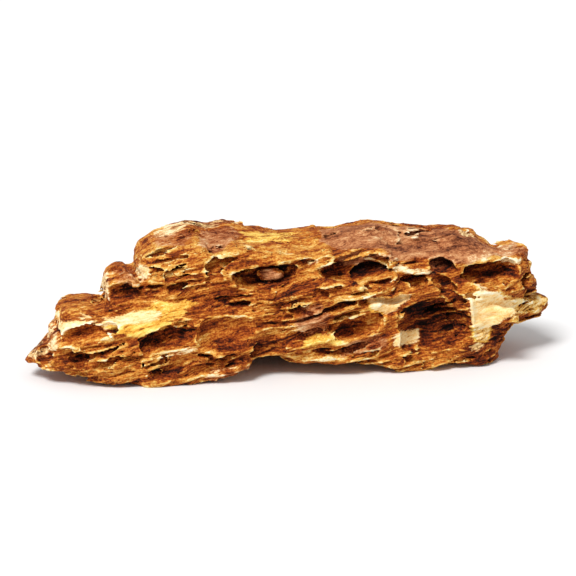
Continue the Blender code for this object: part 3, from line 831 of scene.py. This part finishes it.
PATCHES = [Patch(*key, *values) for key, rows in PATCHES_BY_TINT.items() for values in rows]

# Tints of the parts that no patch describes, which are the back and the underside: the waves of their noise
# along the bedding, across it and above it, the value above which they show, and the noise's seed
Free = namedtuple("Free", "waves least seed")
FREE_TINTS = {
    "pale": Free((26.0, 20.0, 7.0), 0.56, 120),
    "yellow": Free((44.0, 30.0, 12.0), 0.56, 121),
    "skin": Free((50.0, 34.0, 20.0), 0.16, 122),
    "dark": Free((24.0, 18.0, 11.0), 0.26, 123),
}

# How softly they end, and from where towards the back they begin and over what way
FREE_SOFTNESS = 0.4
FREE_FROM = 14.0
FREE_FADE = 8.0


def patch_strength(places, patch):
    """How strongly each place shows a patch."""
    x, y, z = places.T
    if patch.face == "front":
        inside = outline_depth(patch.points, x, z)
        fade = (PATCH_BACK - y) / PATCH_FADE
    else:
        inside = outline_depth(patch.points, x, y)
        fade = (z - PATCH_FLOOR) / PATCH_FADE
    return patch.strength * np.clip(inside / PATCH_SOFTNESS + 0.5, 0.0, 1.0) * np.clip(fade, 0.0, 1.0)


def calm_places(grid):
    """How smooth the surface is at each point of a grid, from 0 where it is as rough as the rest."""
    calm = np.zeros(grid.shape)
    for patch in PATCHES:
        if patch.smooth == 0.0:
            continue
        ends = np.array(patch.points, float)
        low, high = ends.min(axis=0) - PATCH_MARGIN, ends.max(axis=0) + PATCH_MARGIN
        if patch.face == "front":
            lowest, highest = [low[0], -DEPTH, low[1]], [high[0], PATCH_BACK, high[1]]
        else:
            lowest, highest = [*low, PATCH_FLOOR], [*high, 2 * HEIGHT]
        part = part_between(grid, np.array(lowest), np.array(highest))
        found = patch_strength(grid_points(grid, part).reshape(-1, 3), patch).reshape(calm[part].shape)
        calm[part] = np.maximum(calm[part], patch.smooth * np.clip(found / patch.strength, 0.0, 1.0))
    return calm


def free_strength(places, free):
    """How strongly each place shows a tint on the back and the underside."""
    y, z = places[:, 1], places[:, 2]
    along, above = turned(places, BEDDING_DIP)
    value = noise(np.stack([along, y, above], axis=1) / free.waves, 1.0, free.seed)
    there = np.clip(np.maximum((y - FREE_FROM) / FREE_FADE, 1.0 - z), 0.0, 1.0)
    return there * np.clip((value - free.least) / FREE_SOFTNESS + 0.5, 0.0, 1.0)


# The worn stone on a grid: how deep each point lies in it, how deep it lay before the hollows were worn,
# how far the lines sway there, and how smooth it is
Worn = namedtuple("Worn", "depth uncut sway calm")


def worn_stone(grid):
    """The whole stone on a fine grid."""
    coarse = grid_round_stone(BODY_STEP)
    slabs = slabs_depth(grid_points(coarse).reshape(-1, 3)).reshape(coarse.shape)
    depth = refined(slabs, coarse, grid)
    points = grid_points(grid)

    near = np.abs(depth) < LEDGE_REACH
    depth += layered_grid_noise(grid, LUMPS, LUMP_SEED)
    height = turned(points, BEDDING_DIP)[1] + layered_grid_noise(grid, BEDDING_WANDER, WANDER_SEED)
    depth[near] += ledges(points[near], height[near], LEDGES)

    near = depth > -FIBRE_REACH
    sway = layered_grid_noise(grid, [FIBRE_SWAY], FIBRE_SWAY_SEED)
    fibres = np.zeros(grid.shape)
    fibres[near] = fibre_relief(points[near], sway[near])
    calm = calm_places(grid)
    moved = torn_places(grid, fibres * (1.0 - calm))
    uncut = depth.copy()
    front = [Hollow("front", *sizes) for sizes in FRONT_HOLLOWS.values()]
    for hollow in [*front, TOP_SLOT, *worn_hollows()]:
        scoop = scoop_of(hollow)
        if scoop is not None:
            carve(depth, grid, moved, scoop)
    for lump in LUMPS_ON_FRONT.values():
        middle = np.array([lump.x, lump.y, lump.z])
        reach = max(lump.length, lump.thickness) / 2 + TEAR_REACH
        part = part_between(grid, middle - reach, middle + reach)
        raised = lump_depth(moved[part].reshape(-1, 3), lump).reshape(depth[part].shape)
        depth[part] = np.maximum(depth[part], raised)
    line_sway = LINE_TEAR * fibres + layered_grid_noise(grid, LINE_WANDER, LINE_SEED)
    for line in LINES.values():
        draw_line(depth, grid, line_sway, line)

    near = np.abs(depth) < FINE_REACH
    worn = np.clip((uncut[near] - depth[near]) / GRIT_DEPTH, 0.0, 1.0)
    upward = np.clip(-np.gradient(depth, grid.step, axis=2)[near], 0.0, 1.0)
    variation = layered_grid_noise(grid, [ROUGHNESS_VARIATION], ROUGHNESS_SEED)[near]
    roughness = np.clip(ROUGHNESS + variation, *ROUGHNESS_RANGE)
    roughness *= (1.0 - WORN_SMOOTHER * worn) * (1.0 - TOP_SMOOTHER * upward**2) * (1.0 - calm[near])
    relief = sum(ledges(points[near], height[near], layers) for layers in FINE_LAYERS)
    grit = worn * layered_grid_noise(grid, [GRIT], GRIT_SEED)[near]
    depth[near] += roughness * (relief + fibres[near]) + grit
    depth += (1.0 - CALM_GRAIN * calm) * layered_grid_noise(grid, GRAIN, GRAIN_SEED)
    for strewn in SCOOPS:
        for scoop in strewn_scoops(depth, grid, moved, calm, strewn):
            carve(depth, grid, moved, scoop)
    return Worn(np.minimum(depth, points[..., 2]), uncut, line_sway, calm)


def skin_of(depth, grid):
    """The surface where a grid of depths is zero: a point in each cell that it crosses, and quads."""
    inside = depth > 0.0
    ends = list(itertools.product((0, 1), repeat=3))
    size = np.array(depth.shape) - 1
    corners = [inside[tuple(slice(end[axis], end[axis] + size[axis]) for axis in range(3))] for end in ends]
    count = sum(corner.astype(np.uint8) for corner in corners)
    crossed = (count > 0) & (count < 8)
    cells = np.argwhere(crossed)
    number = np.full(tuple(size), -1)
    number[crossed] = np.arange(len(cells))

    total = np.zeros((len(cells), 3))
    crossings = np.zeros((len(cells), 1))
    for start in ends:
        for axis in range(3):
            if start[axis]:
                continue
            end = tuple(1 if other == axis else start[other] for other in range(3))
            a = depth[tuple((cells + start).T)]
            b = depth[tuple((cells + end).T)]
            passes = (a > 0.0) != (b > 0.0)
            share = (a / np.where(passes, a - b, 1.0))[:, None]
            total += np.where(passes[:, None], np.array(start) + share * (np.array(end) - start), 0.0)
            crossings += passes[:, None]
    points = grid.lowest + grid.step * (cells + total / crossings)

    quads = []
    for axis in range(3):
        first, second = (axis + 1) % 3, (axis + 2) % 3
        low = inside[tuple(slice(0, -1) if other == axis else slice(None) for other in range(3))]
        high = inside[tuple(slice(1, None) if other == axis else slice(None) for other in range(3))]
        edges = np.argwhere(low != high)
        ring = []
        for back_first, back_second in ((1, 1), (0, 1), (0, 0), (1, 0)):
            cell = edges.copy()
            cell[:, first] -= back_first
            cell[:, second] -= back_second
            ring.append(number[tuple(cell.T)])
        ring = np.stack(ring, axis=1)
        leaving = low[tuple(edges.T)]
        quads.append(np.where(leaving[:, None], ring, ring[:, ::-1]))
    return points, np.concatenate(quads)


def largest_piece(points, quads):
    """The surface without the loose crumbs round it."""
    label = np.arange(len(points))
    ends = np.concatenate([quads[:, [0, 1]], quads[:, [1, 2]], quads[:, [2, 3]], quads[:, [3, 0]]])
    while True:
        lowest = np.minimum(label[ends[:, 0]], label[ends[:, 1]])
        found = label.copy()
        np.minimum.at(found, ends[:, 0], lowest)
        np.minimum.at(found, ends[:, 1], lowest)
        found = found[found]
        if (found == label).all():
            break
        label = found
    kept = label == np.argmax(np.bincount(label))
    renumbered = np.cumsum(kept) - 1
    return points[kept], renumbered[quads[kept[quads[:, 0]]]]


def blurred(values, reach):
    """Each value's mean over a cube of cells round it, taken twice so that far cells count for less."""
    for axis in (0, 1, 2) * 2:
        edges = [(reach + 1, reach) if other == axis else (0, 0) for other in range(3)]
        sums = np.cumsum(np.pad(values, edges, mode="edge"), axis=axis)
        width = 2 * reach + 1
        size = values.shape[axis]
        upper = sums.take(range(width, width + size), axis=axis)
        values = (upper - sums.take(range(size), axis=axis)) / width
    return values


def mesh_of(name, points, faces):
    """A mesh of faces that all have the same number of corners."""
    mesh = bpy.data.meshes.new(name)
    mesh.vertices.add(len(points))
    mesh.vertices.foreach_set("co", points.astype(np.float32).ravel())
    mesh.loops.add(faces.size)
    mesh.loops.foreach_set("vertex_index", faces.astype(np.int32).ravel())
    mesh.polygons.add(len(faces))
    mesh.polygons.foreach_set("loop_start", np.arange(0, faces.size, faces.shape[1], dtype=np.int32))
    mesh.update(calc_edges=True)
    return mesh


def thinned(name, mesh, triangles):
    """The mesh reduced to a number of triangles, fewest where it is flattest."""
    rough = bpy.data.objects.new(name + "_rough", mesh)
    bpy.context.scene.collection.objects.link(rough)
    thin = rough.modifiers.new("thin", "DECIMATE")
    thin.ratio = min(1.0, triangles / (2 * len(mesh.polygons)))
    evaluated = rough.evaluated_get(bpy.context.evaluated_depsgraph_get())
    made = bpy.data.meshes.new_from_object(evaluated)
    bpy.data.objects.remove(rough)
    made.name = name
    return made


def vertex_places(mesh):
    """The mesh's vertices, in millimetres in the frame that the outlines are drawn in."""
    places = np.empty(3 * len(mesh.vertices), np.float32)
    mesh.vertices.foreach_get("co", places)
    return places.reshape(-1, 3).astype(float) / MM + np.array([*MIDDLE, 0.0])


def add_attribute(mesh, name, values):
    """Gives each vertex a value that the material can read."""
    attribute = mesh.attributes.new(name, "FLOAT", "POINT")
    attribute.data.foreach_set("value", values.astype(np.float32))


# How sharp a turn of the surface stays an edge, in degrees. How far round each place its exposure is felt,
# in millimetres, for the lips, the edges and the hollows, from which the material paints highlights on lips
# and edges and shade in creases and hollows, and how far two blurs in a row spread one's reach
SHARP_ANGLE = 55
BLURS = {"rim": 1.0, "edge": 1.5, "hollow": 4.5}
BLUR_SPREAD = 1.5


def make_stone():
    """The stone's mesh, with what the material needs to know of each place as attributes."""
    grid = grid_round_stone(SKIN_STEP)
    worn = worn_stone(grid)
    points, quads = largest_piece(*skin_of(worn.depth, grid))
    points[:, :2] -= MIDDLE
    mesh = thinned("stone", mesh_of("stone_fine", points * MM, quads), TRIANGLES)
    mesh.shade_smooth()
    mesh.set_sharp_from_angle(angle=math.radians(SHARP_ANGLE))
    places = vertex_places(mesh)
    solid = (worn.depth > 0.0).astype(np.float32)
    # The share of solid stone round each vertex, at each reach: the material paints highlights where little
    # is solid and shade where much is
    for name, reach in BLURS.items():
        around = blurred(solid, max(1, round(reach / grid.step / BLUR_SPREAD)))
        add_attribute(mesh, name, sampled(around, grid, places))
    # How deep each place lies below the surface from before the hollows were worn, which the material
    # darkens as painted shade
    add_attribute(mesh, "sunk", sampled(worn.uncut, grid, places))
    add_attribute(mesh, "calm", sampled(worn.calm, grid, places))
    sway = sampled(worn.sway, grid, places)
    drawn = [line.pale * line_strength(places, sway, line) for line in LINES.values()]
    add_attribute(mesh, "drawn", functools.reduce(np.maximum, drawn))
    fray = [layered_noise(places, PATCH_FRAY, seed) for seed in FRAY_SEEDS]
    frayed = places + np.stack(fray, axis=1)
    # Each tint's strength; the dark tint is painted shade on the front's recesses and a darker tone at
    # random on the back and the underside
    for tint, free in FREE_TINTS.items():
        strengths = [patch_strength(frayed, patch) for patch in PATCHES if patch.tint == tint]
        strengths.append(free_strength(frayed, free))
        add_attribute(mesh, tint, functools.reduce(np.maximum, strengths))
    stone = bpy.data.objects.new("stone", mesh)
    bpy.context.scene.collection.objects.link(stone)
    return stone


def linear(red, green, blue):
    """A colour given as on a screen, 0 to 255, in the linear values that shaders use."""
    curve = []
    for value in (red, green, blue):
        share = value / 255
        curve.append(share / 12.92 if share <= 0.04045 else ((share + 0.055) / 1.055) ** 2.4)
    return curve + [1.0]


class Shading:
    """Adds nodes to a material. Each method returns the new node's output, to feed into others."""

    def __init__(self, material):
        material.use_nodes = True
        self.tree = material.node_tree
        self.shader = self.tree.nodes["Principled BSDF"]

    def node(self, kind, inputs, output=0, **settings):
        made = self.tree.nodes.new(kind)
        for name, value in settings.items():
            setattr(made, name, value)
        for name, value in inputs.items():
            self.feed(made.inputs[name], value)
        return made.outputs[output]

    def feed(self, socket, value):
        if isinstance(value, bpy.types.NodeSocket):
            self.tree.links.new(value, socket)
        else:
            socket.default_value = value

    def attribute(self, name):
        return self.node("ShaderNodeAttribute", {}, "Fac", attribute_name=name)

    def math(self, operation, first, second=0.0, third=0.0):
        return self.node("ShaderNodeMath", {0: first, 1: second, 2: third}, operation=operation)

    def weighted(self, *terms):
        """The sum of pairs of a value and its weight, and of plain numbers."""
        total = 0.0
        for term in terms:
            if isinstance(term, tuple):
                total = self.math("MULTIPLY_ADD", term[0], term[1], total)
            else:
                total = self.math("ADD", total, term)
        return total

    def stretch(self, value, low, high, bottom=0.0, top=1.0):
        """A value's range from low to high laid smoothly over bottom to top."""
        inputs = {"Value": value, "From Min": low, "From Max": high, "To Min": bottom, "To Max": top}
        return self.node("ShaderNodeMapRange", inputs, interpolation_type="SMOOTHSTEP")

    def mix(self, share, first, second):
        made = self.tree.nodes.new("ShaderNodeMix")
        made.data_type = "RGBA"
        for number, value in ((0, share), (6, first), (7, second)):
            self.feed(made.inputs[number], value)
        return made.outputs[2]

    def ramp(self, value, stops):
        made = self.tree.nodes.new("ShaderNodeValToRGB")
        elements = made.color_ramp.elements
        while len(elements) < len(stops):
            elements.new(1.0)
        for element, (place, colour) in zip(elements, stops):
            element.position = place
            element.color = linear(*colour)
        self.feed(made.inputs[0], value)
        return made.outputs[0]

    def mapped(self, vector, scale, turn=(0.0, 0.0, 0.0)):
        inputs = {"Vector": vector, "Scale": scale, "Rotation": turn}
        return self.node("ShaderNodeMapping", inputs, vector_type="POINT")

    def noise(self, vector, sizes, detail=3.0, roughness=0.55, output="Fac"):
        """Noise of the given sizes along the vector's directions, between about -0.3 and 0.3."""
        scaled = self.mapped(vector, [1.0 / size for size in sizes])
        inputs = {"Vector": scaled, "Scale": 1.0, "Detail": detail, "Roughness": roughness}
        made = self.node("ShaderNodeTexNoise", inputs, output)
        return made if output == "Color" else self.math("SUBTRACT", made, 0.5)

    def lines(self, noise, width):
        """Thin lines where a noise passes through nought."""
        return self.stretch(self.math("ABSOLUTE", noise), width, 0.0)


# The rock's colours from its darkest tone to its palest, as on a screen: bare, and under each tint
ROCK_TONES = (
    (0.0, (14, 3, 1)), (0.15, (56, 15, 3)), (0.3, (116, 44, 8)), (0.44, (166, 80, 18)),
    (0.58, (203, 126, 44)), (0.72, (228, 170, 78)), (0.86, (242, 206, 126)), (1.0, (250, 232, 178)),
)
SKIN_TONES = (
    (0.0, (24, 8, 3)), (0.2, (88, 38, 18)), (0.42, (170, 102, 60)), (0.6, (208, 146, 96)),
    (0.8, (238, 202, 152)), (1.0, (252, 240, 214)),
)
YELLOW_TONES = (
    (0.0, (66, 24, 4)), (0.3, (176, 96, 22)), (0.5, (234, 170, 62)), (0.7, (252, 218, 112)),
    (1.0, (255, 241, 188)),
)
PALE_TONES = (
    (0.0, (84, 32, 8)), (0.3, (196, 114, 46)), (0.5, (242, 188, 110)), (0.7, (255, 226, 164)),
    (1.0, (255, 246, 216)),
)


def clay_rock():
    """Weathered clay: brown and golden streaks and cream on the lips, with a painted highlight on the sharp
    edges and painted shade darkening the creases, the hollows and the front's dark recesses.
    """
    material = bpy.data.materials.new("clay_rock")
    rock = Shading(material)
    place = rock.node("ShaderNodeTexCoord", {}, "Object")
    in_mm = rock.mapped(place, (1000.0,) * 3, (0.0, math.radians(FIBRE_DIP), 0.0))
    sway = rock.noise(in_mm, (21, 21, 21), 2.0, 0.5, "Color")
    sway = rock.node("ShaderNodeVectorMath", {0: sway, 1: (7.0, 7.0, 7.0)}, operation="MULTIPLY")
    swayed = rock.node("ShaderNodeVectorMath", {0: in_mm, 1: sway}, operation="ADD")
    broad = rock.noise(swayed, (30, 14, 9), 2.0)
    streak = rock.noise(swayed, (16, 7, 2.4), 4.0, 0.6)
    thread = rock.noise(swayed, (5, 2.5, 0.9), 3.0, 0.6)
    grain = rock.noise(in_mm, (0.9, 0.9, 0.9), 2.0, 0.6)
    patchy = rock.stretch(rock.noise(in_mm, (13, 9, 7), 3.0), -0.07, 0.12)
    vein = rock.math("MULTIPLY", rock.lines(rock.noise(swayed, (12, 5, 2.1), 2.0), 0.03), patchy)
    crack = rock.lines(rock.noise(swayed, (9, 4, 1.7), 2.0), 0.022)
    cells = {"Vector": rock.mapped(in_mm, (1 / 2.0, 1 / 2.0, 1 / 1.5)), "Scale": 1.0}
    dots = rock.stretch(rock.node("ShaderNodeTexVoronoi", cells), 0.34, 0.12)
    # The share of solid stone close round each place: low on sharp outward edges, high in creases
    edge = rock.attribute("edge")
    # How hollow and how sunk each place is, for the painted shade in the hollows
    hollow = rock.stretch(rock.attribute("hollow"), 0.5, 0.75)
    sunk = rock.stretch(rock.attribute("sunk"), 0.8, 9.0)
    # Paler on sharp outward edges: partly the lips' own cream, partly a painted highlight
    lip = rock.math("MULTIPLY", rock.stretch(edge, 0.42, 0.26), rock.stretch(patchy, 0.0, 1.0, 0.25, 1.0))
    calm = rock.attribute("calm")
    tone = rock.weighted(
        0.44,
        (broad, 0.75),
        (streak, 0.95),
        (thread, 0.85),
        (grain, 0.55),
        # Lighter on lips and sharp edges: partly their own cream colour, partly a painted highlight
        (lip, 0.17),
        (rock.stretch(rock.attribute("rim"), 0.42, 0.27), 0.2),
        (vein, 0.18),
        (crack, -0.2),
        # Painted shade: darker in the creases
        (rock.stretch(edge, 0.56, 0.72), -0.2),
        # Painted shade: darker inside the hollows and the deeper they are sunk
        (hollow, -0.1),
        (sunk, -0.12),
        (rock.math("MULTIPLY", dots, hollow), 0.22),
        (rock.attribute("drawn"), 0.2),
        # The dark tint: painted shade in the front's recesses and under the nose, and a darker tone at
        # random on the back and the underside
        (rock.attribute("dark"), -0.12),
        (calm, 0.03),
    )
    ragged = rock.weighted(-0.35, (streak, 0.9), (thread, 0.5), (broad, 0.5), (tone, 0.7))
    colour = rock.ramp(tone, ROCK_TONES)
    for tint, steadiness, lift, tones in (
        ("skin", 0.8, 0.05, SKIN_TONES),
        ("yellow", 0.75, 0.17, YELLOW_TONES),
        ("pale", 0.65, 0.36, PALE_TONES),
    ):
        share = rock.stretch(rock.weighted(rock.attribute(tint), (ragged, 0.8)), 0.3, 0.75)
        colour = rock.mix(share, colour, rock.ramp(rock.weighted(lift, (tone, steadiness)), tones))
    rock.feed(rock.shader.inputs["Base Color"], colour)
    rock.feed(rock.shader.inputs["Roughness"], rock.stretch(tone, 0.2, 0.9, 0.9, 0.7))
    rock.shader.inputs["Specular IOR Level"].default_value = 0.2
    raised = (streak, 0.5), (thread, 0.8), (grain, 0.6), (vein, 0.12), (crack, -0.15), (dots, 0.1)
    height = rock.weighted(*raised)
    height = rock.math("MULTIPLY", height, rock.stretch(calm, 0.0, 1.0, 1.0, 0.4))
    bump = rock.node("ShaderNodeBump", {"Height": height, "Strength": 0.9, "Distance": 0.0009})
    rock.feed(rock.shader.inputs["Normal"], bump)
    return material


def make_floor():
    bpy.ops.mesh.primitive_plane_add(size=6.0)
    floor = bpy.context.object
    floor.name = "floor"
    material = bpy.data.materials.new("pale_floor")
    material.use_nodes = True
    shader = material.node_tree.nodes["Principled BSDF"]
    shader.inputs["Base Color"].default_value = (0.9, 0.9, 0.9, 1.0)
    shader.inputs["Roughness"].default_value = 0.6
    floor.data.materials.append(material)
    floor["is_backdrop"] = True


# The camera: where it looks from round the stone and above it, in degrees, how far off it stands, the
# point that it looks at, and how much of the stone's own plane it takes in
CAMERA_AZIMUTH = -8.0
CAMERA_ELEVATION = 15.0
CAMERA_DISTANCE = 1.2
CAMERA_TARGET = Vector((-0.0002, 0.0016, 0.033))
VIEW_WIDTH = 0.27


def make_camera():
    data = bpy.data.cameras.new("camera")
    camera = bpy.data.objects.new("camera", data)
    bpy.context.scene.collection.objects.link(camera)
    azimuth, elevation = math.radians(CAMERA_AZIMUTH), math.radians(CAMERA_ELEVATION)
    back = Vector(
        (
            math.sin(azimuth) * math.cos(elevation),
            -math.cos(azimuth) * math.cos(elevation),
            math.sin(elevation),
        )
    )
    camera.location = CAMERA_TARGET + back * CAMERA_DISTANCE
    camera.rotation_mode = "QUATERNION"
    camera.rotation_quaternion = (-back).to_track_quat("-Z", "Y")
    data.sensor_width = 36.0
    data.lens = data.sensor_width * CAMERA_DISTANCE / VIEW_WIDTH
    bpy.context.scene.camera = camera


def make_light(name, place, strength, spread):
    """A light from far off in the direction of a place, as soft as its spread in degrees."""
    data = bpy.data.lights.new(name, "SUN")
    data.energy = strength
    data.angle = math.radians(spread)
    light = bpy.data.objects.new(name, data)
    bpy.context.scene.collection.objects.link(light)
    light.location = place
    light.rotation_mode = "QUATERNION"
    light.rotation_quaternion = (-light.location).to_track_quat("-Z", "Y")


def make_studio():
    world = bpy.data.worlds.new("studio")
    world.use_nodes = True
    background = world.node_tree.nodes["Background"]
    background.inputs["Color"].default_value = (1.0, 1.0, 1.0, 1.0)
    background.inputs["Strength"].default_value = 0.5
    bpy.context.scene.world = world
    make_light("key", (-0.4, -0.5, 0.9), 2.9, 22.0)
    bpy.context.scene.view_settings.view_transform = "Standard"


stone = make_stone()
stone.data.materials.append(clay_rock())
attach(stone, "root")
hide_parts("dragon_stone")
make_floor()
make_camera()
make_studio()

boxes = {"cad": cad_box, "visual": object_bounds()}
{name: [list(corner) for corner in box] for name, box in boxes.items()}
